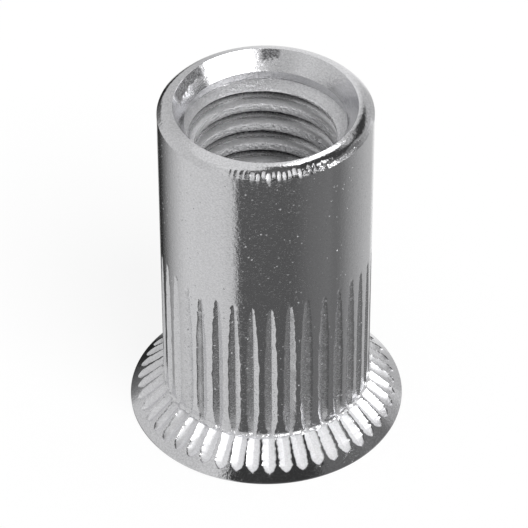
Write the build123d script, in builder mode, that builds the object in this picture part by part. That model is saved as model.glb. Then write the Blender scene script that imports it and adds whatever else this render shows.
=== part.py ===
from math import acos, asin, degrees, radians, sin, tan
import os

from build123d import *

# Rivet nut for a 13 mm hole: M10 x 1.5 thread, grooved barrel, countersunk serrated head.
# Millimetres. The axis is Z, the flat face of the head lies on Z = 0, the open end points up.

# Barrel and head
length = 22.8
barrel_radius = 12.9 / 2
head_radius = 17.1 / 2
head_height = 2.05
head_rim_height = 0.12
head_fillet = 0.25

# Rounding of the open end: it reaches further along the radius than along the axis
rim_rounding_radial = 1.36
rim_rounding_axial = 0.79

# Mouth of the thread, by depth from the open end: a cone from the sharp rim, a short relief
# that opens to the major diameter, and a sloping seat where the crests begin
mouth_radius = 5.51
mouth_cone_depth = 1.22
mouth_cone_radius = 4.84
relief_depth = 1.93
seat_depth = 2.31
thread_major_radius = 10.0 / 2
thread_minor_radius = 8.5 / 2

# Thin-walled chamber behind the head, which folds outwards when the nut is set
chamber_radius = 11.0 / 2
chamber_length = 11.6
chamber_cone_half_angle = 60
chamber_edge_break = 0.3

# Grooves pressed along the barrel
groove_count = 36
groove_first_angle = 2.5
groove_width = 0.76
groove_floor_width = 0.10
groove_depth = 0.22
groove_top = 12.55
groove_top_run_out = 4.2
groove_bottom = 2.2
groove_bottom_run_out = 1.7

# Leaf-shaped serrations pressed into the cone of the head, deeper towards the barrel
serration_count = 48
serration_first_angle = 1.4
serration_width = 0.80
serration_floor_width = 0.20
serration_tip_radius = 8.11
serration_run_out = 0.9
serration_outer_depth = 0.11
serration_inner_depth = 0.16
serration_inner_gap = 0.14

# Both pressing tools are blunt wedges. They stand out of the steel by the clearance, and follow
# their run-out a little past its end
tool_clearance = 0.15
tool_overrun = 1.05


def arc_radius(half_chord, rise):
    """Radius of the arc that rises by rise over half_chord, measured from its middle."""
    return (half_chord**2 + rise**2) / (2 * rise)


def wedge(plane, width, floor_width, depth):
    """Sketch of a wedge that is width across at depth above its floor; the floor is at x = 0."""
    height = depth + tool_clearance
    half_top = (floor_width + (width - floor_width) * height / depth) / 2
    with BuildSketch(plane) as sketch:
        with BuildLine():
            Polyline(
                (0, -floor_width / 2),
                (0, floor_width / 2),
                (height, half_top),
                (height, -half_top),
                close=True,
            )
        make_face()
    return sketch.sketch


# Tool for one barrel groove: a wedge along the barrel that curves out of it at both ends
groove_floor = barrel_radius - groove_depth
groove_straight_bottom = groove_bottom + groove_bottom_run_out
groove_straight_top = groove_top - groove_top_run_out
groove_start = Plane((groove_floor, 0, groove_straight_bottom))

with BuildPart() as groove_tool:
    extrude(
        wedge(groove_start, groove_width, groove_floor_width, groove_depth),
        amount=groove_straight_top - groove_straight_bottom,
    )
    ends = groove_tool.faces().sort_by(Axis.Z)
    for end, level, run_out, turn in (
        (ends[0], groove_straight_bottom, groove_bottom_run_out, -1),
        (ends[-1], groove_straight_top, groove_top_run_out, 1),
    ):
        curve = arc_radius(run_out, groove_depth)
        revolve(
            end,
            axis=Axis((groove_floor + curve, 0, level), (0, turn, 0)),
            revolution_arc=tool_overrun * degrees(asin(run_out / curve)),
        )

# Tool for one head serration: a broader wedge down the cone that curves out before the rim.
# It is set out on the line of the cone in the XZ plane, from the barrel to the serration's tip.
downhill = Vector(head_radius - barrel_radius, 0, head_rim_height - head_height).normalized()
off_cone = downhill.cross(Vector(0, 1, 0))
cone_top = Vector(barrel_radius, 0, head_height)
serration_tip = cone_top + downhill * ((serration_tip_radius - barrel_radius) / downhill.X)
floor_inner = cone_top + downhill * serration_inner_gap - off_cone * serration_inner_depth
floor_outer = serration_tip - downhill * serration_run_out - off_cone * serration_outer_depth
floor_line = (floor_outer - floor_inner).normalized()
off_floor = floor_line.cross(Vector(0, 1, 0))
tip_reach = (serration_tip - floor_outer).dot(floor_line)
tip_rise = (serration_tip - floor_outer).dot(off_floor)
tip_curve = arc_radius(tip_reach, tip_rise)
serration_start = Plane(origin=floor_inner, x_dir=off_floor, z_dir=floor_line)

with BuildPart() as serration_tool:
    extrude(
        wedge(serration_start, serration_width, serration_floor_width, serration_outer_depth),
        amount=(floor_outer - floor_inner).length,
    )
    end = serration_tool.faces().sort_by(Axis(floor_inner, floor_line))[-1]
    revolve(
        end,
        axis=Axis(floor_outer + off_floor * tip_curve, (0, -1, 0)),
        revolution_arc=tool_overrun * degrees(asin(tip_reach / tip_curve)),
    )

# Body: one turned section, revolved about the axis, then grooved and serrated
rim_arc = acos((mouth_radius - barrel_radius + rim_rounding_radial) / rim_rounding_radial)
rim_centre = (barrel_radius - rim_rounding_radial, length - rim_rounding_axial * sin(rim_arc))
chamber_cone = (chamber_radius - thread_minor_radius) / tan(radians(chamber_cone_half_angle))

with BuildPart() as rivet_nut:
    with BuildSketch(Plane.XZ) as section:
        with BuildLine():
            outside = Polyline(
                (chamber_radius + chamber_edge_break, 0),
                (head_radius, 0),
                (head_radius, head_rim_height),
                (barrel_radius, head_height),
                (barrel_radius, rim_centre[1]),
            )
            rim = EllipticalCenterArc(
                rim_centre,
                rim_rounding_radial,
                rim_rounding_axial,
                arc_size=degrees(rim_arc),
            )
            Polyline(
                rim @ 1,
                (mouth_cone_radius, length - mouth_cone_depth),
                (thread_major_radius, length - relief_depth),
                (thread_minor_radius, length - seat_depth),
                (thread_minor_radius, chamber_length + chamber_cone),
                (chamber_radius, chamber_length),
                (chamber_radius, chamber_edge_break),
                outside @ 0,
            )
        make_face()
        neck = section.vertices().sort_by_distance((barrel_radius, head_height))[0]
        fillet(neck, radius=head_fillet)
    revolve(axis=Axis.Z)
    with PolarLocations(0, groove_count, start_angle=groove_first_angle):
        add(groove_tool.part, mode=Mode.SUBTRACT)
    with PolarLocations(0, serration_count, start_angle=serration_first_angle):
        add(serration_tool.part, mode=Mode.SUBTRACT)

rivet_nut.part.label = "rivet_nut"
os.makedirs("parts", exist_ok=True)
export_step(rivet_nut.part, "parts/rivet_nut.step")

size = rivet_nut.part.bounding_box().size
print(f"rivet nut {size.X:.2f} x {size.Y:.2f} x {size.Z:.2f} mm, {rivet_nut.part.volume:.1f} mm3")
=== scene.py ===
# %% [markdown]
# # A blind rivet nut in bright zinc-plated steel
# A rivet nut is a short steel tube with a thread in one end. It goes into a hole in thin sheet up to its
# head, and a tool pulls on the thread until the plain part of the tube folds up behind the sheet. The nut
# here is M10, with a countersunk head, a ribbed shank and an open end.
#
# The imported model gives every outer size. Blender adds what the eye looks for: pressed grooves with
# ragged edges, the cut thread, small coining marks round the mouth, and the plated metal itself.

# %% Load the frame
import math

import bmesh
import bpy
import numpy as np
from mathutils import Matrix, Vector


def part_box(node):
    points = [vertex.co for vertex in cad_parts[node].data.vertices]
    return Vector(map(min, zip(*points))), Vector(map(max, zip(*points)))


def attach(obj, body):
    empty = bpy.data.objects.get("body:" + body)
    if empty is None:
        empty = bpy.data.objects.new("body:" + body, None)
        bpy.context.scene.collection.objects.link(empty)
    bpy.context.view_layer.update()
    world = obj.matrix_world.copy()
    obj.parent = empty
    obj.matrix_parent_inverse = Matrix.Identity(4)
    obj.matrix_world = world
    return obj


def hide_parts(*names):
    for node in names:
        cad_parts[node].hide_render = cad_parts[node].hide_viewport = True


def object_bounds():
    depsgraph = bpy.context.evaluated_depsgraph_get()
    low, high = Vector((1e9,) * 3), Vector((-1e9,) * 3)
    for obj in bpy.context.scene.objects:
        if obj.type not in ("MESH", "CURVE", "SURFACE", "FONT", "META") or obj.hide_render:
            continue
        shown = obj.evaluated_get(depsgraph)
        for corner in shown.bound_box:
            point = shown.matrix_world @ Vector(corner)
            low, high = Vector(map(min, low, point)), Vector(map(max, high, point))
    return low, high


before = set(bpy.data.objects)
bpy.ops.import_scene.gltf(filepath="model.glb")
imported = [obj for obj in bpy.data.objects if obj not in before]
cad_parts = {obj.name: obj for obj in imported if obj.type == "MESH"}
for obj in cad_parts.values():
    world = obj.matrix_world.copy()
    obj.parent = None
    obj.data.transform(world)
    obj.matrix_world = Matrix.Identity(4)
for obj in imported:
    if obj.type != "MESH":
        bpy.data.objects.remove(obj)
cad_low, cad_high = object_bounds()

MM = 0.001
print("CAD box, mm:", [round(v / MM, 3) for v in (*cad_low, *cad_high)])

# %% [markdown]
# ## Sizes
# All sizes are in millimetres, as on a maker's drawing. The overall length and the head diameter are read
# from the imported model, so the mesh can't drift away from it. The rest are the sizes of such a nut: a
# 12.9 mm barrel for an M10 thread, a head that flares at about 43 degrees, and a thread pitch of 1.5 mm.
# Depths in the bore count from the open end.

# %% Driving sizes
low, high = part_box("rivet_nut")
LENGTH = (high.z - low.z) / MM
HEAD_RADIUS = (high.x - low.x) / 2 / MM
BASE = low.z / MM

BARREL_RADIUS = 6.45
HEAD_HEIGHT = 2.05
RIM_HEIGHT = 0.12

ROUNDING_ACROSS = 1.36
ROUNDING_ALONG = 0.79
MOUTH_RADIUS = 5.51

CONE_DEPTH = 1.22
CONE_RADIUS = 4.84
RELIEF_DEPTH = 1.93
SEAT_DEPTH = 2.31
THREAD_MAJOR = 5.0
THREAD_MINOR = 4.25
PITCH = 1.5

CHAMBER_RADIUS = 5.5
CHAMBER_LENGTH = 11.6
EDGE_BREAK = 0.3

print(f"nut {LENGTH:.2f} mm long, head {2 * HEAD_RADIUS:.2f} mm across")

# %% [markdown]
# ## How the mesh is put together
# The nut is a turned part, so its surface is a stack of rings from the chamber edge, out over the head, up
# the shank, over the rim and down the bore. A modifier such as Screw would give every ring the same number
# of points. Here each zone needs its own count, so that points fall on the edges of 36 grooves, 48 head
# serrations or 127 coining marks. The stitch below walks along two chains of points at once and joins
# them, whatever their counts are. It joins rings, and also the upright lines that the thread needs.
#
# Three numbers go with every point, for the material to read: how much a tool pressed or dulled the metal
# there, how torn it is, and how far its zinc is worn off, which in the thread also carries painted shade.

# %% Points
points = []
faces = []
pressed = []
torn = []
worn_or_shaded = []


def add_points(theta, radius, height, mark=0.0, tear=0.0, wear_or_shade=0.0):
    """Adds points at angles theta (degrees, 0 towards -Y and 90 towards +X); returns their numbers."""
    theta, radius, height, mark, tear, wear_or_shade = np.broadcast_arrays(
        np.radians(theta), radius, height, mark, tear, wear_or_shade)
    first = len(points)
    points.extend(np.column_stack([radius * np.sin(theta), -radius * np.cos(theta), height]))
    pressed.extend(mark)
    torn.extend(tear)
    worn_or_shaded.extend(wear_or_shade)
    return list(range(first, len(points)))


DEGREES_PER_RADIAN = 57.3


def as_angle(length, radius):
    """A length along a circle of this radius, in degrees."""
    return length / radius * DEGREES_PER_RADIAN


def around(theta, middle, spread):
    """1 near the middle angle, falling smoothly to 0 a little beyond the spread, all in degrees."""
    signed = (theta + 180) % 360 - 180
    return np.exp(-((signed - middle) / spread) ** 4)


print("points are in mm; 5 mm along the barrel is", round(as_angle(5, BARREL_RADIUS), 1), "degrees")


# %% Stitching two chains together
def stitch(chain_a, keys_a, chain_b, keys_b, same=1e-6):
    """Fills the strip between two chains whose keys rise, with a face at each step along either one."""
    i = j = 0
    while i < len(chain_a) - 1 or j < len(chain_b) - 1:
        next_a = keys_a[i + 1] if i < len(chain_a) - 1 else math.inf
        next_b = keys_b[j + 1] if j < len(chain_b) - 1 else math.inf
        if abs(next_a - next_b) < same:
            faces.append((chain_a[i], chain_a[i + 1], chain_b[j + 1], chain_b[j]))
            i, j = i + 1, j + 1
        elif next_a < next_b:
            faces.append((chain_a[i], chain_a[i + 1], chain_b[j]))
            i += 1
        else:
            faces.append((chain_a[i], chain_b[j + 1], chain_b[j]))
            j += 1


def join_rings(ring_a, ring_b):
    """A ring is (numbers, nominal angles). Both are closed by their first point, one turn later."""
    (ids_a, keys_a), (ids_b, keys_b) = ring_a, ring_b
    if len(ids_a) == len(ids_b):
        keys_b = keys_a
    stitch(
        [*ids_a, ids_a[0]], [*keys_a, keys_a[0] + 360],
        [*ids_b, ids_b[0]], [*keys_b, keys_b[0] + 360])


def join_stack(rings):
    """Joins each ring to the next."""
    for ring, following in zip(rings, rings[1:]):
        join_rings(ring, following)


def even_angles(count):
    """Angles of evenly spaced points round a ring, in degrees."""
    return np.arange(count) * 360 / count


def plain_ring(count, radius, height, mark=0.0):
    """A round ring of evenly spaced points."""
    theta = even_angles(count)
    return add_points(theta, radius, height, mark), list(theta)


print("stitching helpers ready")

# %% [markdown]
# ## Underside of the head
# The head is cold formed, so its flat face meets the rim with a very small radius, and the edge of the
# chamber is broken so that it doesn't cut. These are plain rings. Their counts step up from the 240 points
# of the bore to the 576 points of the head.

# %% Underside rings
BORE_COUNT = 240
LEAVES = 48
LEAF_COLUMNS = 12
HEAD_COUNT = LEAVES * LEAF_COLUMNS
RIM_ROUND = 0.035

underside = [
    plain_ring(BORE_COUNT, CHAMBER_RADIUS, EDGE_BREAK),
    plain_ring(BORE_COUNT, CHAMBER_RADIUS + EDGE_BREAK, 0),
    plain_ring(BORE_COUNT, (CHAMBER_RADIUS + HEAD_RADIUS) / 2, 0),
    plain_ring(HEAD_COUNT, HEAD_RADIUS - RIM_ROUND, 0),
    plain_ring(HEAD_COUNT, HEAD_RADIUS - 0.3 * RIM_ROUND, 0.3 * RIM_ROUND),
    plain_ring(HEAD_COUNT, HEAD_RADIUS, RIM_ROUND),
    plain_ring(HEAD_COUNT, HEAD_RADIUS, RIM_HEIGHT),
]
join_stack(underside)
print(len(underside), "rings under the head")

# %% [markdown]
# ## Serrations on the cone of the head
# The cone behind the head carries 48 pressed serrations that bite into the sheet. Each is a leaf: a point
# near the rim, then a wide shallow valley that gets deeper towards the shank, because the punch comes down
# along the axis. The valley is a blunt V, and near the shank the lands between two leaves are sharp ridges.
# A boolean per leaf would be slow and leave long thin faces. Instead the points of each row are slid
# sideways so that two of them always lie on the leaf's edges, and the ones between them are pushed in.
# No two leaves are quite alike, since the punch wears and the metal tears a little at the edges.

# %% One leaf, and how much the leaves differ
rng = np.random.default_rng(10)

LEAF_FIRST_ANGLE = 1.4
LEAF_TIP_RADIUS = 8.11
LEAF_TIP_LENGTH = 0.6
LEAF_DEPTH_OUT = 0.20
LEAF_DEPTH_IN = 0.30
LEAF_SHARE_OUT = 0.80
LEAF_SHARE_IN = 0.95
LEAF_HALF_LEAST = 0.6
LEAF_HALF_MOST = 0.49 * 360 / LEAVES
RAGGED_EDGE = 0.015

leaf_across = np.array([-1, -0.8, -0.5, -0.2, 0, 0.2, 0.5, 0.8, 1])
leaf_section = np.array([0, 0.26, 0.58, 0.88, 1, 0.88, 0.58, 0.26, 0])
leaf_angle = LEAF_FIRST_ANGLE + even_angles(LEAVES)

# Spreads: mm sideways, share of the width, share of the depth, and mm of reach
leaf_shift = rng.normal(0, 0.035, LEAVES)
leaf_size = rng.normal(1, 0.03, LEAVES)
leaf_depth = rng.normal(1, 0.08, LEAVES)
leaf_reach = rng.normal(0, 0.03, LEAVES)


def cut_row(angles, half_widths, across, land_columns, centre_shift):
    """Angles of one row: for each cut, points across it, then evenly spaced points over the land."""
    count = len(angles)
    row = np.zeros((count, len(across) + land_columns))
    left_edge = angles + centre_shift - half_widths
    right_edge = angles + centre_shift + half_widths
    next_left = np.roll(left_edge, -1) + np.where(np.arange(count) == count - 1, 360, 0)
    row[:, : len(across)] = (angles + centre_shift)[:, None] + half_widths[:, None] * across
    for k in range(land_columns):
        share = (k + 1) / (land_columns + 1)
        row[:, len(across) + k] = right_edge + share * (next_left - right_edge)
    return row


print("leaf depths from", (LEAF_DEPTH_OUT * leaf_depth.min()).round(2),
      "to", (LEAF_DEPTH_IN * leaf_depth.max()).round(2), "mm")

# %% Rows of the cone
SLOPE_RUN = HEAD_RADIUS - BARREL_RADIUS
SLOPE_RISE = HEAD_HEIGHT - RIM_HEIGHT
SLOPE_LENGTH = math.hypot(SLOPE_RUN, SLOPE_RISE)
OUTWARD = SLOPE_RISE / SLOPE_LENGTH
UPWARD = SLOPE_RUN / SLOPE_LENGTH

# A cut this deep, in mm, is fully marked by its tool. The leaves are frosted most round the front
MARKED_SINK = 0.05
FROST = 0.6
FROST_MORE = 0.2
FROST_MIDDLE = 15
FROST_SPREAD = 55

# Distances up the slope from the rim: close together where the tips curve
head_steps = np.concatenate([
    [0.16, 0.32, 0.48],
    np.linspace(0.56, 1.5, 12),
    np.linspace(1.62, 2.7, 10),
])
head_rings = []
for slant in head_steps:
    radius = HEAD_RADIUS - slant * UPWARD
    height = RIM_HEIGHT + slant * OUTWARD
    tip = (HEAD_RADIUS - LEAF_TIP_RADIUS) / UPWARD + leaf_reach
    along = np.clip((slant - tip) / (SLOPE_LENGTH - tip), 0, 1)
    grown = np.sqrt(1 - (1 - np.clip((slant - tip) / LEAF_TIP_LENGTH, 0, 1)) ** 2)
    share = LEAF_SHARE_OUT + (LEAF_SHARE_IN - LEAF_SHARE_OUT) * along
    half = share * leaf_size * grown * 180 / LEAVES
    half = half + as_angle(rng.normal(0, 1.5 * RAGGED_EDGE, LEAVES), radius) * grown
    half = np.clip(half, LEAF_HALF_LEAST, LEAF_HALF_MOST)
    depth = (LEAF_DEPTH_OUT + (LEAF_DEPTH_IN - LEAF_DEPTH_OUT) * along) * leaf_depth * grown
    row = cut_row(
        leaf_angle, half, leaf_across, LEAF_COLUMNS - len(leaf_across), as_angle(leaf_shift, radius))
    sink = np.zeros_like(row)
    sink[:, : len(leaf_across)] = depth[:, None] * leaf_section
    frost = FROST + FROST_MORE * around(row, FROST_MIDDLE, FROST_SPREAD)
    mark = np.clip(sink / MARKED_SINK, 0, 1) * frost
    ids = add_points(
        row.ravel(), (radius - sink * OUTWARD).ravel(), (height - sink * UPWARD).ravel(), mark.ravel())
    head_rings.append((ids, list(even_angles(HEAD_COUNT))))

join_rings(underside[-1], head_rings[0])
join_stack(head_rings)
print(len(head_rings), "rows of serrations,", HEAD_COUNT, "points each")

# %% [markdown]
# ## Ribbed shank
# The lower half of the shank has 36 straight grooves, which stop the nut from turning in its hole. A rolling
# die presses them, so they start as a fine point at the top, reach their full width 4.6 mm lower,
# and narrow again just above the head. One flank is a little steeper than the other, and the edges are
# ragged where the metal has torn. The rows are made as on the head. A thin uneven burr stands round the
# foot, where the shank meets the cone.

# %% One groove, and how much the grooves differ
GROOVES = 36
GROOVE_COLUMNS = 14
GROOVE_COUNT = GROOVES * GROOVE_COLUMNS
GROOVE_FIRST_ANGLE = 2.5
GROOVE_WIDTH = 0.77
GROOVE_HALF_LEAST = 0.012
GROOVE_DEPTH = 0.20
GROOVE_TOP = 12.55
GROOVE_RUN_OUT = 4.6
GROOVE_TAPER = 0.38
GROOVE_FOOT = 1.5
GROOVE_MARK = 0.5

groove_across = np.array([-1, -0.8, -0.45, -0.1, 0.05, 0.15, 0.55, 1])
groove_section = np.array([0, 0.24, 0.54, 0.84, 1, 1, 0.55, 0])
groove_angle = GROOVE_FIRST_ANGLE + even_angles(GROOVES)

# Spreads: mm sideways, share of the width, mm of reach up the shank, and share of the depth
groove_shift = rng.normal(0, 0.02, GROOVES)
groove_size = rng.normal(1, 0.03, GROOVES)
groove_reach = rng.normal(0, 0.12, GROOVES)
groove_deep = rng.normal(1, 0.05, GROOVES)
print("grooves end", (GROOVE_TOP + groove_reach.min()).round(2),
      "to", (GROOVE_TOP + groove_reach.max()).round(2), "mm up")

# %% Rows of the shank
BURR = 0.08
BURR_HEIGHT = 0.2
BURR_TEAR = 0.3
WANDER = 0.006

# Heights: close together at the foot and where the points of the grooves end
shank_heights = np.concatenate([
    HEAD_HEIGHT + np.array([0.02, 0.1, 0.2, 0.32, 0.46, 0.65, 0.9, 1.2, 1.55]),
    np.linspace(4.0, 10.6, 20),
    np.linspace(10.8, 12.4, 15),
    [12.5, 12.6, 12.75, 13.4, 17.5, 21.6],
])
shank_rings = []
for height in shank_heights:
    below_tip = np.clip((GROOVE_TOP + groove_reach - height) / GROOVE_RUN_OUT, 0, 1)
    foot = np.clip((height - HEAD_HEIGHT) / GROOVE_FOOT, 0, 1)
    grown = below_tip ** GROOVE_TAPER * (0.5 + 0.5 * foot * foot * (3 - 2 * foot))
    half_width = GROOVE_WIDTH / 2 * groove_size * grown
    ragged = rng.normal(0, 1.4 * RAGGED_EDGE, GROOVES) * np.clip(grown * 3, 0, 1)
    half = as_angle(np.clip(half_width + ragged, GROOVE_HALF_LEAST, None), BARREL_RADIUS)
    shift = as_angle(groove_shift + rng.normal(0, WANDER, GROOVES), BARREL_RADIUS)
    row = cut_row(groove_angle, half, groove_across, GROOVE_COLUMNS - len(groove_across), shift)
    depth = GROOVE_DEPTH * groove_deep * grown * np.clip(below_tip * 12, 0, 1)
    sink = np.zeros_like(row)
    sink[:, : len(groove_across)] = depth[:, None] * groove_section
    near_foot = np.clip(1 - (height - HEAD_HEIGHT) / BURR_HEIGHT, 0, 1)
    burr = BURR * near_foot**2 * (1 + 0.5 * rng.normal(0, 1, row.shape))
    mark = np.clip(sink / MARKED_SINK, 0, 1) * GROOVE_MARK
    ids = add_points(
        row.ravel(), (BARREL_RADIUS + burr - sink).ravel(), height, mark.ravel(), BURR_TEAR * near_foot)
    shank_rings.append((ids, list(even_angles(GROOVE_COUNT))))

join_rings(head_rings[-1], shank_rings[0])
join_stack(shank_rings)
print(len(shank_rings), "rows of shank,", GROOVE_COUNT, "points each")

# %% [markdown]
# ## Rounded rim with coining marks
# The open end is rounded over where the tube was pushed into a die. The die leaves a ring of 127 short
# upright dents, a little irregular, each a shallow scoop in the rounding. They are plain at the front and
# fade to either side, as if the tube had stood slightly askew in the die. A texture could fake them, but
# the light on a bright edge shows true shape, so they are points pushed in, six to a dent.

# %% Coining marks
MARKS = 127
MARK_COLUMNS = 6
RIM_COUNT = MARKS * MARK_COLUMNS
MARK_DEPTH = 0.03
MARK_LOW = 22.20
MARK_HIGH = 22.62
MARK_FRONT = 7
MARK_SPREAD = 24
FAINT_LEFT = 0.15
FAINT_RIGHT = 0.04

mark_theta = (np.arange(RIM_COUNT) + 0.5) * 360 / RIM_COUNT
mark_number = np.arange(RIM_COUNT) // MARK_COLUMNS
mark_place = (np.arange(RIM_COUNT) % MARK_COLUMNS + 0.5) / MARK_COLUMNS - 0.5
mark_depth = np.clip(rng.normal(1, 0.45, MARKS), 0.1, 2.0)[mark_number]
mark_centre = rng.normal(0, 0.09, MARKS)[mark_number]
mark_width = np.clip(rng.normal(0.40, 0.06, MARKS), 0.25, 0.5)[mark_number]
mark_low = rng.normal(0, 0.03, MARKS)[mark_number]

near_front = around(mark_theta, MARK_FRONT, MARK_SPREAD)
faint = np.where(mark_theta > 180, FAINT_LEFT, FAINT_RIGHT)
mark_depth = mark_depth * (faint + (1 - faint) * near_front)
scoop = np.clip(1 - ((mark_place - mark_centre) / mark_width) ** 2, 0, 1)
print("coining marks up to", (MARK_DEPTH * mark_depth.max()).round(3), "mm deep")

# %% Rim rings
ROUNDING_START = 28
MARK_DULL = 0.7

rim_centre_radius = BARREL_RADIUS - ROUNDING_ACROSS
rim_turn = math.acos((MOUTH_RADIUS - rim_centre_radius) / ROUNDING_ACROSS)
rim_centre_height = LENGTH - ROUNDING_ALONG * math.sin(rim_turn)
rim_end = math.degrees(rim_turn)

# Turns over the rounding, in degrees: 0 faces outwards and 90 would face up
rim_turns = np.concatenate([[0, 14], np.arange(ROUNDING_START, 53, 2.0), np.linspace(54, rim_end, 7)])
rim_rings = []
for turn in rim_turns:
    across = math.cos(math.radians(turn))
    along = math.sin(math.radians(turn))
    radius = rim_centre_radius + ROUNDING_ACROSS * across
    height = rim_centre_height + ROUNDING_ALONG * along
    if turn < ROUNDING_START:
        radius = BARREL_RADIUS
    normal = Vector((across / ROUNDING_ACROSS, along / ROUNDING_ALONG))
    normal.normalize()
    middle = (MARK_LOW + MARK_HIGH) / 2 + mark_low
    reach = np.clip(1 - ((height - middle) / ((MARK_HIGH - MARK_LOW) / 2)) ** 2, 0, 1)
    sink = MARK_DEPTH * mark_depth * scoop * reach
    dulled = np.clip(sink / MARK_DEPTH * 3, 0, 1) * MARK_DULL * near_front
    ids = add_points(mark_theta, radius - sink * normal.x, height - sink * normal.y, dulled)
    rim_rings.append((ids, list(mark_theta)))

join_rings(shank_rings[-1], rim_rings[0])
join_stack(rim_rings)
print(len(rim_rings), "rim rings, highest point", round(max(p[2] for p in points), 3))

# %% [markdown]
# ## Thread
# Below the sharp edge the bore narrows in a turned cone, flares a little in a relief, and steps in to the
# thread. The thread is right-handed, M10 with a pitch of 1.5 mm. Its groove has a rounded root and hollow
# flanks, and the crests are flat with broken edges, as a tap leaves them in a punched hole.
# A Screw modifier would make the helix but not its ends, where it runs out into the relief and the
# chamber. So the bore is built from 240 upright lines of points. On each line the wall is the deeper of the
# turned profile and the groove, and neighbouring lines are stitched along the helix, which keeps the
# crest edges clean all the way round.

# %% Sections of the bore and of the thread
GROOVE_AT_BACK = 2.77
THREAD_FADE_DEPTH = 1.40
THREAD_FADE_LENGTH = 0.25
CONE_THREAD_END = 0.70
SEAT_STEPS = (2.05, 2.2)
NOISE_ROWS = 512

profile_heights = np.array([
    CHAMBER_LENGTH,
    CHAMBER_LENGTH + CONE_THREAD_END,
    LENGTH - SEAT_DEPTH,
    LENGTH - RELIEF_DEPTH,
    LENGTH - CONE_DEPTH,
])
profile_radii = np.array([CHAMBER_RADIUS, THREAD_MINOR, THREAD_MINOR, THREAD_MAJOR, CONE_RADIUS])

# Half of the groove's section, from the root to the middle of the crest
groove_offsets = np.array([0, 0.017, 0.06, 0.12, 0.19, 0.28, 0.37, 0.45, 0.48, 0.6, 0.75])
groove_sinks = np.array([0.628, 0.623, 0.61, 0.55, 0.48, 0.385, 0.24, 0.035, 0.018, 0.004, 0])
groove_radii = THREAD_MINOR + groove_sinks
both_offsets = np.concatenate([-groove_offsets[:0:-1], groove_offsets[:-1]])
crest_noise = rng.normal(0, 1, (BORE_COUNT, NOISE_ROWS))
print("thread groove", groove_sinks.max(), "mm deep below its crest")


# %% Wall of the bore at one angle
def helix_height(theta):
    """Height of the middle of the first full groove at this angle."""
    return LENGTH - GROOVE_AT_BACK + PITCH * (theta - 180) / 360


def from_groove(theta, heights):
    """Height above the middle of the nearest groove, from -PITCH / 2 to PITCH / 2."""
    return (heights - helix_height(theta) + PITCH / 2) % PITCH - PITCH / 2


def bore_wall(theta):
    """Heights from the top down and their radii at one angle, with a point wherever two surfaces cross."""
    turns = np.arange(-2, 9)
    helix = (helix_height(theta) - turns[:, None] * PITCH + both_offsets).ravel()
    bottom, top = profile_heights[0], profile_heights[-1]
    helix = helix[(helix > bottom + 0.02) & (helix < top - 0.02)]
    seat_steps = [LENGTH - depth for depth in SEAT_STEPS]
    heights = np.unique(np.concatenate([helix, profile_heights, seat_steps]))
    profile = np.interp(heights, profile_heights, profile_radii)
    groove = np.interp(np.abs(from_groove(theta, heights)), groove_offsets, groove_radii)
    fade = np.clip((LENGTH - THREAD_FADE_DEPTH - heights) / THREAD_FADE_LENGTH, 0, 1)
    groove = THREAD_MINOR + (groove - THREAD_MINOR) * fade
    gap = groove - profile
    cross = np.nonzero(gap[:-1] * gap[1:] < -1e-9)[0]
    share = gap[cross] / (gap[cross] - gap[cross + 1])
    extra = heights[cross] + share * (heights[cross + 1] - heights[cross])
    extra_radii = profile[cross] + share * (profile[cross + 1] - profile[cross])
    heights = np.concatenate([heights, extra])
    radii = np.concatenate([np.maximum(profile, groove), extra_radii])
    order = np.argsort(-heights)
    return heights[order], radii[order]


back_heights, back_radii = bore_wall(180.0)
print(len(back_heights), "points down the back, radii", back_radii.min().round(3), "to", back_radii.max())

# %% [markdown]
# ## Mouth cone
# The cone at the mouth is turned bright. Handling and the setting tool wear its sharp edge: two places, at
# the back and at the back left, have lost their zinc down to half the depth of the cone, with a fringed
# lower edge. They are a hundredth of a millimetre deep, so the colour of the bare steel shows them more
# than their shape does, and the third number of each point carries it to the material.

# %% Mouth cone
SCUFF_DEPTH = 0.012
SCUFF_REACH = 0.5
SCUFF_FRINGE = 0.05
BRIGHT_CONE = 0.3
SCUFF_DULL = 0.3
SCUFF_TEAR = 0.05

bore_theta = even_angles(BORE_COUNT)
scuff_fringe = SCUFF_REACH + SCUFF_FRINGE * rng.normal(0, 1, BORE_COUNT)


def worn_place(middle, half_width, fade):
    """1 in a worn stretch of the edge, falling to 0 over the fade at its ends, all in degrees."""
    return np.clip((half_width - np.abs(bore_theta - middle)) / fade, 0, 1)


scuffed = np.maximum(worn_place(177, 7, 1.5), worn_place(243, 19, 3))

cone_rings = []
for share in (0.04, 0.10, 0.16, 0.22, 0.28, 0.34, 0.40, 0.46, 0.52, 0.64, 0.76, 0.88):
    radius = MOUTH_RADIUS + (CONE_RADIUS - MOUTH_RADIUS) * share
    height = LENGTH - CONE_DEPTH * share
    worn = scuffed * (share < scuff_fringe)
    sink = worn * SCUFF_DEPTH * rng.uniform(0, 1, BORE_COUNT)
    ids = add_points(
        bore_theta, radius + sink, height, BRIGHT_CONE + SCUFF_DULL * worn, SCUFF_TEAR * worn, worn)
    cone_rings.append((ids, list(bore_theta)))
join_rings(rim_rings[-1], cone_rings[0])
join_stack(cone_rings)
print(len(cone_rings), "rings in the mouth cone,", int((scuffed > 0).sum()), "of", BORE_COUNT, "lines worn")

# %% [markdown]
# ## Cutting the thread, line by line
# A tap tears the crests, so they are rough and sandy. The root and the flank that faces down lie in shade
# under the crest, and that shade is painted dark with the colour of bare steel. The flank that faces up is
# satin, more so towards the crest.

# %% Thread
CREST_ROUGH = 0.025
CREST_FALL = 0.03
BORE_SATIN = 0.35
SEAT_SATIN = 0.25
SEAT_TEAR = 0.3
SEAT_WEAR = 0.12
FLANK_SATIN = 0.36

# Heights from the middle of the groove, in mm: below it the satin starts, above it the painted shade under
# the crest
SATIN_START = 0.10
SATIN_LENGTH = 0.34
CREST_SHADE_START = 0.30
CREST_SHADE_LENGTH = 0.22

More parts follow.
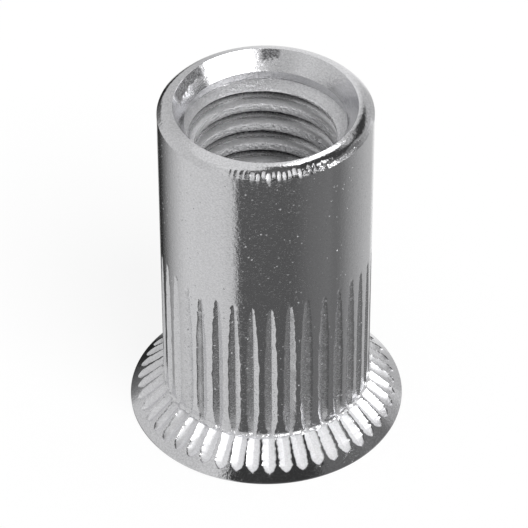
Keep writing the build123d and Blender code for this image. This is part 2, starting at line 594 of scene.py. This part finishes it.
columns = []
for n, theta in enumerate(bore_theta):
    heights, radii = bore_wall(theta)
    crest = np.exp(-((radii - THREAD_MINOR) / CREST_FALL) ** 2)
    inside = (heights < LENGTH - CONE_DEPTH - 0.1) & (heights > CHAMBER_LENGTH + 0.1)
    radii = radii + np.where(inside, crest * CREST_ROUGH * np.abs(crest_noise[n, : len(radii)]), 0)
    seat = (heights < LENGTH - RELIEF_DEPTH + 0.02) & (heights > LENGTH - SEAT_DEPTH - 0.02)
    in_groove = (crest < 0.5) & (heights < LENGTH - SEAT_DEPTH)
    above = from_groove(theta, heights)
    faces_up = np.clip((-above - SATIN_START) / SATIN_LENGTH, 0, 1) * in_groove
    # Painted shade: the root and the flank that faces down, under each crest, get the dark colour of bare
    # steel
    painted_shade_under_crest = np.clip((above + CREST_SHADE_START) / CREST_SHADE_LENGTH, 0, 1) * in_groove
    mark = BORE_SATIN + SEAT_SATIN * seat + FLANK_SATIN * faces_up
    tear = np.clip(crest + SEAT_TEAR * seat, 0, 1)
    ids = add_points(theta, radii, heights, mark, tear, SEAT_WEAR * seat + painted_shade_under_crest)
    columns.append((ids, heights))

for n in range(BORE_COUNT):
    ids_a, heights_a = columns[n]
    ids_b, heights_b = columns[(n + 1) % BORE_COUNT]
    along_a = helix_height(bore_theta[n]) - heights_a
    along_b = helix_height(bore_theta[n] + 360 / BORE_COUNT) - heights_b
    stitch(ids_b, list(along_b), ids_a, list(along_a), same=0.01)

thread_top = ([ids[0] for ids, _ in columns], list(bore_theta))
thread_foot = ([ids[-1] for ids, _ in columns], list(bore_theta))
join_rings(cone_rings[-1], thread_top)
print("thread built with", sum(len(ids) for ids, _ in columns), "points")

# %% [markdown]
# ## Chamber and one closed mesh
# Behind the thread the bore widens to a plain chamber with a thin wall, the part that folds when the nut is
# set. A few plain rings close it onto the underside, so the whole nut is one skin with no open edge. Edges
# sharper than 24 degrees stay crisp, and all others are shaded smooth.

# %% Chamber below the thread
CHAMBER_SATIN = 0.4

chamber_rings = [thread_foot]
for height in (CHAMBER_LENGTH - 1.5, 6.0, 2.0):
    chamber_rings.append(plain_ring(BORE_COUNT, CHAMBER_RADIUS, height, CHAMBER_SATIN))
join_stack(chamber_rings)
join_rings(chamber_rings[-1], underside[0])
print("chamber closed onto the underside")

# %% Turn the lists into one mesh
CRISP_EDGE = math.radians(24)

mesh = bpy.data.meshes.new("rivet_nut_metal")
vertices = np.array(points)
vertices[:, 2] += BASE
mesh.from_pydata((vertices * MM).tolist(), [], faces)
for name, values in (("pressed", pressed), ("torn", torn), ("worn_or_shaded", worn_or_shaded)):
    layer = mesh.attributes.new(name, "FLOAT", "POINT")
    layer.data.foreach_set("value", np.array(values, np.float32))
mesh.polygons.foreach_set("use_smooth", [True] * len(mesh.polygons))
mesh.set_sharp_from_angle(angle=CRISP_EDGE)
mesh.update()
nut = bpy.data.objects.new("rivet_nut_metal", mesh)
bpy.context.scene.collection.objects.link(nut)
print(f"{len(points)} points, {sum(len(face) - 2 for face in faces)} triangles")

# %% Check that the surface is closed
check = bmesh.new()
check.from_mesh(mesh)
open_edges = sum(1 for e in check.edges if len(e.link_faces) != 2)
volume = check.calc_volume(signed=True) / MM**3
check.free()
print("open edges:", open_edges, "| volume, cubic mm:", round(volume, 1))

# %% [markdown]
# ## Bright zinc-plated steel
# The nut is cold-formed steel with a thin electroplated coat of zinc, passivated clear. It is a neutral
# light-grey metal that mirrors the room softly, and one procedural material gives all of it. What breaks up
# the mirror:
#
# - A fine grain from the plating, 0.19 mm across.
# - Matt specks of zinc crystals, 0.13 mm across, and a slow waviness of 0.8 mm from the drawn tube.
# - Small nicks from tumbling in the plating barrel, in loose clusters and only on the outside of the shank.
# - Fine turning rings in the bore, 0.07 mm apart.
# - Satin where a tool pressed the metal. It is rougher there, and the most pressed places scatter light
#   almost like chalk.
# - Strong grain and the same chalky look where the metal is torn.
# - Dark bare steel where the zinc is worn off, and the same dark colour as painted shade at the roots of the
#   thread.


# %% Node helper and colours
def linear(hex_colour):
    """sRGB hex to the linear numbers that Blender's sockets take."""
    parts = [int(hex_colour[i:i + 2], 16) / 255 for i in (1, 3, 5)]
    return (*[c / 12.92 if c <= 0.04045 else ((c + 0.055) / 1.055) ** 2.4 for c in parts], 1.0)


def node(tree, kind, settings=None, links=None):
    """Adds a node, sets its properties or sockets by name, and links sockets from other nodes' outputs."""
    made = tree.nodes.new(kind)
    for key, value in (settings or {}).items():
        if isinstance(key, int) or key in made.inputs:
            made.inputs[key].default_value = value
        else:
            setattr(made, key, value)
    for key, source in (links or {}).items():
        tree.links.new(source, made.inputs[key])
    return made


ZINC_BRIGHT = "#E8E8EA"
ZINC_DULL = "#D6D6D8"
# Dark steel where the zinc is worn off, also used as painted shade at the roots of the thread
STEEL_BARE_AND_SHADE = "#3C3C3E"
print("zinc, linear:", [round(c, 3) for c in linear(ZINC_BRIGHT)[:3]])

# %% Coordinates in millimetres, and the marks on the points
GRAIN_MM = 0.19
WAVE_MM = 0.8
NICK_MM = 0.45
SPECKLE_MM = 0.13
STREAK_MM = 0.07

zinc = bpy.data.materials.new("bright zinc-plated steel")
zinc.use_nodes = True
tree = zinc.node_tree
tree.nodes.clear()

where = node(tree, "ShaderNodeTexCoord")
in_mm = node(tree, "ShaderNodeVectorMath", {"operation": "SCALE", "Scale": 1 / MM},
             {0: where.outputs["Object"]})
tool_marks = node(tree, "ShaderNodeAttribute", {"attribute_name": "pressed"})
torn_marks = node(tree, "ShaderNodeAttribute", {"attribute_name": "torn"})
# Worn-off zinc, and painted shade at the roots of the thread
bare_or_shaded = node(tree, "ShaderNodeAttribute", {"attribute_name": "worn_or_shaded"})
print("patterns of", GRAIN_MM, WAVE_MM, NICK_MM, SPECKLE_MM, "and", STREAK_MM, "mm")

# %% Where the outside of the shank is
apart = node(tree, "ShaderNodeSeparateXYZ", {}, {0: in_mm.outputs[0]})
flat = node(tree, "ShaderNodeCombineXYZ", {}, {0: apart.outputs[0], 1: apart.outputs[1]})
from_axis = node(tree, "ShaderNodeVectorMath", {"operation": "LENGTH"}, {0: flat.outputs[0]})
above_head = node(tree, "ShaderNodeMapRange", {"From Min": HEAD_HEIGHT, "From Max": HEAD_HEIGHT + 1},
                  {"Value": apart.outputs[2]})
on_barrel = node(tree, "ShaderNodeMapRange",
                 {"From Min": BARREL_RADIUS - 0.3, "From Max": BARREL_RADIUS - 0.2},
                 {"Value": from_axis.outputs["Value"]})
on_shank = node(tree, "ShaderNodeMath", {"operation": "MULTIPLY"},
                {0: above_head.outputs[0], 1: on_barrel.outputs[0]})
print("shank above", HEAD_HEIGHT, "mm and beyond", BARREL_RADIUS - 0.3, "mm from the axis")

# %% Grain, waves and nicks
GRAIN_HEIGHT = 0.009
GRAIN_HEIGHT_TORN = 0.22
WAVE_HEIGHT = 0.003
NICK_HEIGHT = -0.014

grain = node(tree, "ShaderNodeTexNoise", {"Scale": 1 / GRAIN_MM, "Detail": 3.0, "Roughness": 0.6},
             {"Vector": in_mm.outputs[0]})
grain_height = node(tree, "ShaderNodeMapRange", {"To Min": GRAIN_HEIGHT, "To Max": GRAIN_HEIGHT_TORN},
                    {"Value": torn_marks.outputs["Fac"]})
grain_relief = node(tree, "ShaderNodeMath", {"operation": "MULTIPLY"},
                    {0: grain.outputs[0], 1: grain_height.outputs[0]})
waves = node(tree, "ShaderNodeTexNoise", {"Scale": 1 / WAVE_MM, "Detail": 2.0},
             {"Vector": in_mm.outputs[0]})
wave_relief = node(tree, "ShaderNodeMath", {"operation": "MULTIPLY_ADD", 1: WAVE_HEIGHT},
                   {0: waves.outputs[0], 2: grain_relief.outputs[0]})

nicks = node(tree, "ShaderNodeTexVoronoi", {"Scale": 1 / NICK_MM, "Randomness": 1.0},
             {"Vector": in_mm.outputs[0]})
nick_shape = node(tree, "ShaderNodeMapRange",
                  {"From Min": 0.04, "From Max": 0.15, "To Min": 1.0, "To Max": 0.0},
                  {"Value": nicks.outputs["Distance"]})
nick_cluster = node(tree, "ShaderNodeMapRange",
                    {"From Min": 0.42, "From Max": 0.58, "To Min": 0.15, "To Max": 1.4},
                    {"Value": waves.outputs[0]})
nick_where = node(tree, "ShaderNodeMath", {"operation": "MULTIPLY"},
                  {0: nick_cluster.outputs[0], 1: on_shank.outputs[0]})
nick_here = node(tree, "ShaderNodeMath", {"operation": "MULTIPLY"},
                 {0: nick_shape.outputs[0], 1: nick_where.outputs[0]})
nick_relief = node(tree, "ShaderNodeMath", {"operation": "MULTIPLY_ADD", 1: NICK_HEIGHT},
                   {0: nick_here.outputs[0], 2: wave_relief.outputs[0]})
print("grain", GRAIN_HEIGHT, "mm high, or", GRAIN_HEIGHT_TORN, "where torn; nicks", -NICK_HEIGHT, "mm deep")

# %% Turning rings in the bore, and the bump of it all
RING_HEIGHT = 0.005

lathe_ring = node(tree, "ShaderNodeMath", {"operation": "MULTIPLY", 1: 1 / STREAK_MM},
                  {0: from_axis.outputs["Value"]})
drift = node(tree, "ShaderNodeVectorMath", {"operation": "SCALE", "Scale": 0.35}, {0: in_mm.outputs[0]})
ring_axis = node(tree, "ShaderNodeCombineXYZ", {}, {2: lathe_ring.outputs[0]})
streak_at = node(tree, "ShaderNodeVectorMath", {"operation": "ADD"},
                 {0: drift.outputs[0], 1: ring_axis.outputs[0]})
streaks = node(tree, "ShaderNodeTexNoise", {"Scale": 1.0, "Detail": 1.0},
               {"Vector": streak_at.outputs[0]})
in_bore = node(tree, "ShaderNodeMapRange",
               {"From Min": THREAD_MAJOR, "From Max": THREAD_MAJOR + 0.1,
                "To Min": RING_HEIGHT, "To Max": 0.0},
               {"Value": from_axis.outputs["Value"]})
all_relief = node(tree, "ShaderNodeMath", {"operation": "MULTIPLY_ADD"},
                  {0: streaks.outputs[0], 1: in_bore.outputs[0], 2: nick_relief.outputs[0]})
bump = node(tree, "ShaderNodeBump", {"Strength": 1.0, "Distance": MM}, {"Height": all_relief.outputs[0]})
print("turning rings", RING_HEIGHT, "mm high")

# %% Roughness
# Plated zinc is smooth between its matt specks; a pressed, nicked or torn place is rougher
MIRROR_ROUGHNESS = 0.045
SPECK_ROUGHNESS = 0.11
SPECK_ROUGHNESS_SHANK = 0.32
PRESSED_ROUGHER = 0.42
NICK_ROUGHER = 0.5

flattened = node(tree, "ShaderNodeVectorMath", {"operation": "MULTIPLY", 1: (1, 1, 1.8)},
                 {0: in_mm.outputs[0]})
speckle = node(tree, "ShaderNodeTexNoise", {"Scale": 1 / SPECKLE_MM, "Detail": 2.0, "Roughness": 0.7},
               {"Vector": flattened.outputs[0]})
speck_roughness = node(tree, "ShaderNodeMapRange",
                       {"To Min": SPECK_ROUGHNESS, "To Max": SPECK_ROUGHNESS_SHANK},
                       {"Value": on_shank.outputs[0]})
matt_specks = node(tree, "ShaderNodeMapRange",
                   {"From Min": 0.52, "From Max": 0.68, "To Min": MIRROR_ROUGHNESS},
                   {"Value": speckle.outputs[0], "To Max": speck_roughness.outputs[0]})
pressed_rough = node(tree, "ShaderNodeMath", {"operation": "MULTIPLY_ADD", 1: PRESSED_ROUGHER},
                     {0: tool_marks.outputs["Fac"], 2: matt_specks.outputs[0]})
rough = node(tree, "ShaderNodeMath", {"operation": "MULTIPLY_ADD", 1: NICK_ROUGHER},
             {0: nick_here.outputs[0], 2: pressed_rough.outputs[0]})
print("roughness from", MIRROR_ROUGHNESS, "to", round(SPECK_ROUGHNESS_SHANK + PRESSED_ROUGHER, 2))

# %% Colour: bright and dull crystals, steel where the zinc is gone, and painted shade in the thread
crystals = node(tree, "ShaderNodeMapRange", {"From Min": 0.38, "From Max": 0.62},
                {"Value": speckle.outputs[0]})
tint = node(tree, "ShaderNodeMix", {"data_type": "RGBA", 6: linear(ZINC_BRIGHT), 7: linear(ZINC_DULL)},
            {0: crystals.outputs[0]})
bare_or_shade_specks = node(tree, "ShaderNodeMapRange",
                   {"From Min": 0.36, "From Max": 0.60, "To Min": 0.7, "To Max": 1.0},
                   {"Value": speckle.outputs[0]})
bare_or_shade_share = node(tree, "ShaderNodeMath", {"operation": "MULTIPLY"},
                  {0: bare_or_shaded.outputs["Fac"], 1: bare_or_shade_specks.outputs[0]})
colour = node(tree, "ShaderNodeMix", {"data_type": "RGBA", 7: linear(STEEL_BARE_AND_SHADE)},
              {0: bare_or_shade_share.outputs[0], 6: tint.outputs[2]})
print("bare steel, linear:", [round(c, 3) for c in linear(STEEL_BARE_AND_SHADE)[:3]])

# %% How metallic it looks, and the shader
# A clean place is all metal. A torn, worn or strongly pressed one, or painted shade in the thread, keeps
# this little of its mirror
LEAST_METAL = 0.1
MOST_CHALK = 0.75

pressed_chalk = node(tree, "ShaderNodeMapRange",
                     {"From Min": 0.5, "From Max": 0.8, "To Min": 0.0, "To Max": MOST_CHALK},
                     {"Value": tool_marks.outputs["Fac"]})
chalk = node(tree, "ShaderNodeMath", {"operation": "MAXIMUM"},
             {0: torn_marks.outputs["Fac"], 1: pressed_chalk.outputs[0]})
dull = node(tree, "ShaderNodeMath", {"operation": "MAXIMUM"}, {0: chalk.outputs[0], 1: bare_or_shaded.outputs["Fac"]})
metal_share = node(tree, "ShaderNodeMapRange", {"To Min": 1.0, "To Max": LEAST_METAL},
                   {"Value": dull.outputs[0]})
shader = node(tree, "ShaderNodeBsdfPrincipled", {}, {
    "Base Color": colour.outputs[2],
    "Metallic": metal_share.outputs[0],
    "Roughness": rough.outputs[0],
    "Normal": bump.outputs[0],
})
node(tree, "ShaderNodeOutputMaterial", {}, {"Surface": shader.outputs[0]})
mesh.materials.append(zinc)
print("material", zinc.name, "with", len(tree.nodes), "nodes")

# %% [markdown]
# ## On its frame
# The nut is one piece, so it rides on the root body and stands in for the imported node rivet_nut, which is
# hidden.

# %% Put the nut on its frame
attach(nut, "root")
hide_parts("rivet_nut")
print("nut rides on the root body")

# %% [markdown]
# ## Studio
# Bright metal shows its surroundings, so the studio is what gives the nut its tones. It could be built from
# card and lamp objects, but painting it on the world by direction is simpler to steer and adds no objects.
# First comes a ring of greys, by bearing alone: light on the left, dark in front for the dark band
# down the shank, grey on the right, light at the back and black at the back left. The plain shank mirrors
# nothing but this ring. Over it go cards and lamps, each a rectangle of one level between two bearings and
# two heights. A bearing is 0 in front and 90 on the right. They show in the head, the rim, the bore and the
# groove flanks. Most levels are below 1. The lamps, of 2 to 4, whiten the back of the mouth cone and make
# the sparkle of the serrations and of the rim.
#
# Only mirror rays see this room. The eye sees plain white behind the nut. The satin and chalky places are
# lit by an even white of 0.7 and by the soft lamp from the front right, further below.

# %% Helpers that paint by direction
DEG = math.pi / 180

world = bpy.data.worlds.new("studio")
bpy.context.scene.world = world
world.use_nodes = True
sky = world.node_tree
sky.nodes.clear()

direction = node(sky, "ShaderNodeTexCoord")
axes = node(sky, "ShaderNodeSeparateXYZ", {}, {0: direction.outputs["Generated"]})
to_front = node(sky, "ShaderNodeMath", {"operation": "MULTIPLY", 1: -1.0}, {0: axes.outputs["Y"]})
bearing = node(sky, "ShaderNodeMath", {"operation": "ARCTAN2"},
               {0: axes.outputs["X"], 1: to_front.outputs[0]})
elevation = node(sky, "ShaderNodeMath", {"operation": "ARCSINE"}, {0: axes.outputs["Z"]})


def edge(source, start, end):
    """A ramp from 0 to 1 between two angles in degrees."""
    ramp = node(sky, "ShaderNodeMapRange",
                {"interpolation_type": "SMOOTHSTEP", "From Min": start * DEG, "From Max": end * DEG},
                {"Value": source.outputs[0]})
    return ramp.outputs[0]


def card(behind, level, left=None, right=None, low=None, high=None, soft=4.0, soft_low=None):
    """Paints a card of one level over what is behind it. Edges are angles in degrees, None for no edge."""
    cover = None
    soft_low = soft_low or soft
    for source, start, sign, blur in (
            (bearing, left, 1, soft), (bearing, right, -1, soft),
            (elevation, low, 1, soft_low), (elevation, high, -1, soft_low)):
        if start is None:
            continue
        ramp = edge(source, start - sign * blur / 2, start + sign * blur / 2)
        if cover is None:
            cover = ramp
        else:
            cover = node(sky, "ShaderNodeMath", {"operation": "MULTIPLY"}, {0: cover, 1: ramp}).outputs[0]
    mixed = node(sky, "ShaderNodeMix", {"data_type": "FLOAT", 3: level}, {0: cover, 2: behind})
    return mixed.outputs[0]


print("world ready to paint")

# %% The ring of greys
# Bearing in degrees and level; the step from 0.62 to 0.11 at -32 is the edge of the dark band
RING = [
    (-180, 0.85), (-172, 0.60), (-164, 0.01), (-150, 0.04), (-144, 0.11), (-136, 0.20), (-128, 0.34),
    (-120, 0.46), (-112, 0.57), (-104, 0.66), (-94, 0.73), (-50, 0.71), (-33, 0.62), (-31, 0.11),
    (28, 0.11), (50, 0.165), (72, 0.20), (80, 0.168), (88, 0.20), (105, 0.34), (120, 0.44),
    (135, 0.52), (155, 0.56), (164, 0.90), (180, 0.85),
]
round_share = node(sky, "ShaderNodeMapRange", {"From Min": -math.pi, "From Max": math.pi},
                   {"Value": bearing.outputs[0]})
ring = node(sky, "ShaderNodeValToRGB", {}, {0: round_share.outputs[0]})
stops = ring.color_ramp.elements
while len(stops) < len(RING):
    stops.new(0.5)
for stop, (angle, level) in zip(stops, RING):
    stop.position = (angle + 180) / 360
    stop.color = (level, level, level, 1)
print("ring of", len(stops), "greys")

# %% Cards and lamps
CARDS = [
    # light boards on the left, for the left of the head and rim and the back right of the bore
    dict(level=0.66, left=-129, right=-60, low=-28, soft=10, soft_low=8),
    dict(level=0.55, left=-148, right=-128, low=-33, high=-16, soft=4),
    dict(level=0.62, left=-176, right=-126, low=9, soft=6),
    dict(level=0.58, left=-172, right=-147, low=-4, soft=4),
    # front: a light board below the horizon, for groove flanks, and one higher up, for serrations
    dict(level=0.60, left=-30, right=50, low=-33, high=-4, soft=6),
    dict(level=0.75, left=-48, right=-4, low=33, high=46, soft=4),
    # black and grey boards high in front and on the right, for the front and right of the head
    dict(level=0.045, left=-37.5, right=52, low=44, high=60, soft=3, soft_low=4),
    dict(level=0.15, left=50, right=84, low=33, high=56, soft=6),
    dict(level=0.19, left=84, right=112, low=17, high=36, soft=6),
    # overhead, light on the left and dark elsewhere, for the front of the rim and the thread
    dict(level=0.80, right=-42, low=52, soft=10),
    dict(level=0.10, left=-42, right=60, low=54, high=71, soft=10, soft_low=4),
    dict(level=0.22, left=-42, right=60, low=71, soft=30, soft_low=4),
    dict(level=0.06, left=58, right=137, low=52, high=80, soft=6),
    # right and back right: a lamp, a black board and a lamp, for the front right of the rim
    dict(level=2.00, left=62, right=90, low=52, high=60, soft=4),
    dict(level=0.05, left=120, right=152, low=26, high=44, soft=6),
    dict(level=3.00, left=140, right=159, low=53, high=74, soft=4),
    # low in front: a pale board and a broad lamp, which the back of the mouth cone mirrors
    dict(level=0.60, left=-34, right=14, low=2, high=26, soft=5),
    dict(level=4.00, left=15, right=75, low=4, high=24, soft=5),
    # lamps and light boards above them and further right, for the sparkle of the serrations
    dict(level=4.00, left=0, right=45, low=27, high=37, soft=5),
    dict(level=4.00, left=45, right=62, low=22, high=34, soft=5),
    dict(level=4.00, left=60, right=76, low=20, high=33, soft=3),
    dict(level=1.20, left=74, right=88, low=15, high=28, soft=3),
    dict(level=0.90, left=86, right=98, low=11, high=23, soft=3),
    # right: a black board for the rim, a light one for the mouth's back left and the head's right
    dict(level=0.06, left=86, right=122, low=38, high=54, soft=4),
    dict(level=0.80, left=80, right=134, low=-20, high=7, soft=6),
    # straight up: a dark hood, for the front of the rim and the thread
    dict(level=0.12, left=-42, low=75, soft=4),
]
painted = ring.outputs[0]
for settings in CARDS:
    painted = card(painted, **settings)
print(len(CARDS), "cards painted")

# %% Which rays see the studio
EVEN_LIGHT = 0.7

ray = node(sky, "ShaderNodeLightPath")
studio = node(sky, "ShaderNodeBackground", {"Strength": 1.0}, {"Color": painted})
fill = node(sky, "ShaderNodeMapRange", {"To Min": EVEN_LIGHT, "To Max": 1.0},
            {"Value": ray.outputs["Is Camera Ray"]})
plain = node(sky, "ShaderNodeBackground", {"Color": (1, 1, 1, 1)}, {"Strength": fill.outputs[0]})
seen = node(sky, "ShaderNodeMixShader", {},
            {0: ray.outputs["Is Glossy Ray"], 1: plain.outputs[0], 2: studio.outputs[0]})
node(sky, "ShaderNodeOutputWorld", {}, {0: seen.outputs[0]})
print("studio of", len(sky.nodes), "nodes")

# %% Soft lamp for the satin places
# It stands for a large soft box, so it is wide. Mirror rays don't see it, because the cards do that part
LAMP_STRENGTH = 2.1
LAMP_WIDTH = math.radians(35)
LAMP_FROM_TOP = math.radians(38)
LAMP_TO_RIGHT = math.radians(35)

soft_lamp = bpy.data.lights.new("soft lamp", "SUN")
soft_lamp.energy = LAMP_STRENGTH
soft_lamp.angle = LAMP_WIDTH
lamp = bpy.data.objects.new("soft lamp", soft_lamp)
bpy.context.scene.collection.objects.link(lamp)
lamp.rotation_euler = (LAMP_FROM_TOP, 0, LAMP_TO_RIGHT)
lamp.visible_glossy = False
print("lamp", round(90 - math.degrees(LAMP_FROM_TOP)), "degrees above the floor")

# %% [markdown]
# ## Floor
# The nut stands on white paper. Most of what the eye gets from the paper is a steady white, and a small
# share is lit by the room, so that the nut throws a faint shadow. Mirror rays pass through the paper to the
# ring of greys below the horizon, which is what the upright shank mirrors.

# %% Floor with a faint shadow
FLOOR_HALF = 1.0
FLOOR_GAP = 0.00002
SHADOW_SHARE = 0.15
PAPER = "#FCFCFC"
PAPER_GLOW = 0.97

floor_mesh = bpy.data.meshes.new("floor")
corners = [
    (x * FLOOR_HALF, y * FLOOR_HALF, low.z - FLOOR_GAP)
    for x, y in ((-1, -1), (1, -1), (1, 1), (-1, 1))
]
floor_mesh.from_pydata(corners, [], [(0, 1, 2, 3)])
floor = bpy.data.objects.new("floor", floor_mesh)
bpy.context.scene.collection.objects.link(floor)

paper = bpy.data.materials.new("white paper sweep")
paper.use_nodes = True
tree = paper.node_tree
tree.nodes.clear()
ray = node(tree, "ShaderNodeLightPath")
matte = node(tree, "ShaderNodeBsdfDiffuse", {"Color": linear(PAPER)})
glow = node(tree, "ShaderNodeEmission", {"Color": (1, 1, 1, 1), "Strength": PAPER_GLOW})
shown = node(tree, "ShaderNodeMixShader", {0: SHADOW_SHARE}, {1: glow.outputs[0], 2: matte.outputs[0]})
clear = node(tree, "ShaderNodeBsdfTransparent")
lit = node(tree, "ShaderNodeMixShader", {},
           {0: ray.outputs["Is Camera Ray"], 1: matte.outputs[0], 2: shown.outputs[0]})
final = node(tree, "ShaderNodeMixShader", {},
             {0: ray.outputs["Is Glossy Ray"], 1: lit.outputs[0], 2: clear.outputs[0]})
node(tree, "ShaderNodeOutputMaterial", {}, {"Surface": final.outputs[0]})
floor_mesh.materials.append(paper)
print("floor at", round(low.z / MM, 2), "mm")

# %% [markdown]
# ## Camera
# A long lens about 213 mm away looks down at the nut at 40 degrees, so that the mouth, the barrel and the
# head all show. Its place is worked out from the middle of the CAD box.

# %% Camera
PITCH_DOWN = 0.7049
ROLL = -0.003
FROM_CENTRE = (-0.000125, -0.16291, 0.13765)
LENS = 238.2
SENSOR_WIDTH = 36

camera_data = bpy.data.cameras.new("camera")
camera_data.sensor_width = SENSOR_WIDTH
camera_data.lens = LENS
camera_data.clip_start = 0.01
camera_data.clip_end = 10
camera = bpy.data.objects.new("camera", camera_data)
bpy.context.scene.collection.objects.link(camera)
camera.location = (Vector(cad_low) + Vector(cad_high)) / 2 + Vector(FROM_CENTRE)
camera.rotation_mode = "ZYX"
camera.rotation_euler = (math.pi / 2 - PITCH_DOWN, 0, ROLL)
bpy.context.scene.camera = camera
print("camera", round(Vector(FROM_CENTRE).length / MM), "mm from the middle, lens", camera_data.lens)

# %% [markdown]
# ## Finish
# The picture uses Blender's Standard view transform.

# %% Finish
bpy.context.scene.view_settings.view_transform = "Standard"
